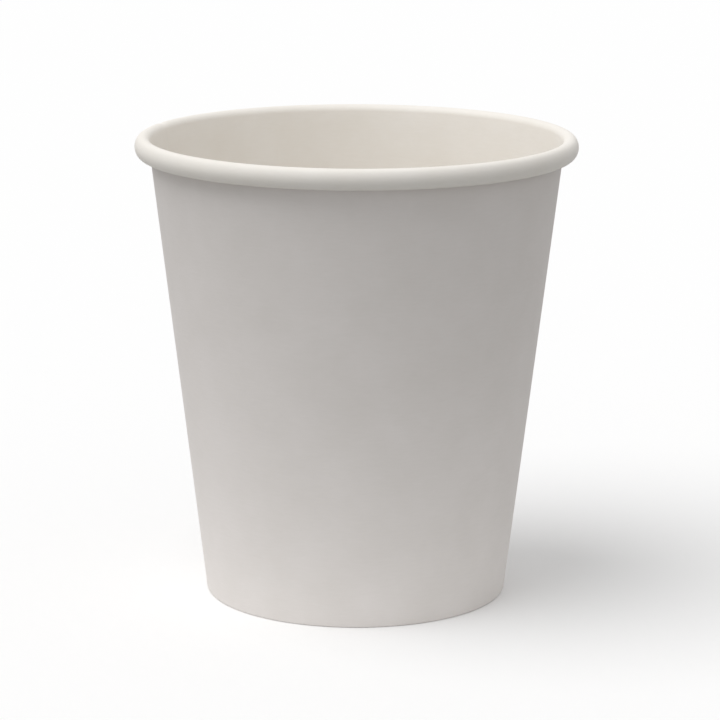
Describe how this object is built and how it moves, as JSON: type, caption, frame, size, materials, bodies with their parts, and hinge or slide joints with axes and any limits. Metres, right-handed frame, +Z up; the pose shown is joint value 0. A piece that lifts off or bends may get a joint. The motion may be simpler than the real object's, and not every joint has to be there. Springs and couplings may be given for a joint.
{
  "type": "paper cup",
  "caption": "Single-wall paper cup for hot drinks: tapered lapped wall, rolled rim for a press-on lid, folded hem and recessed base.",
  "frame": {"origin": "centre of the foot ring, on the surface that the cup stands on", "axes": "+Z up the cup's axis, +X through the middle of the side seam"},
  "size_m": [0.09, 0.09, 0.0948],
  "materials": {
    "wall_board": "matte",
    "base_board": "matte"
  },
  "bodies": {
    "root": {"side_wall": "wall_board", "base_disc": "base_board"}
  },
  "joints": []
}
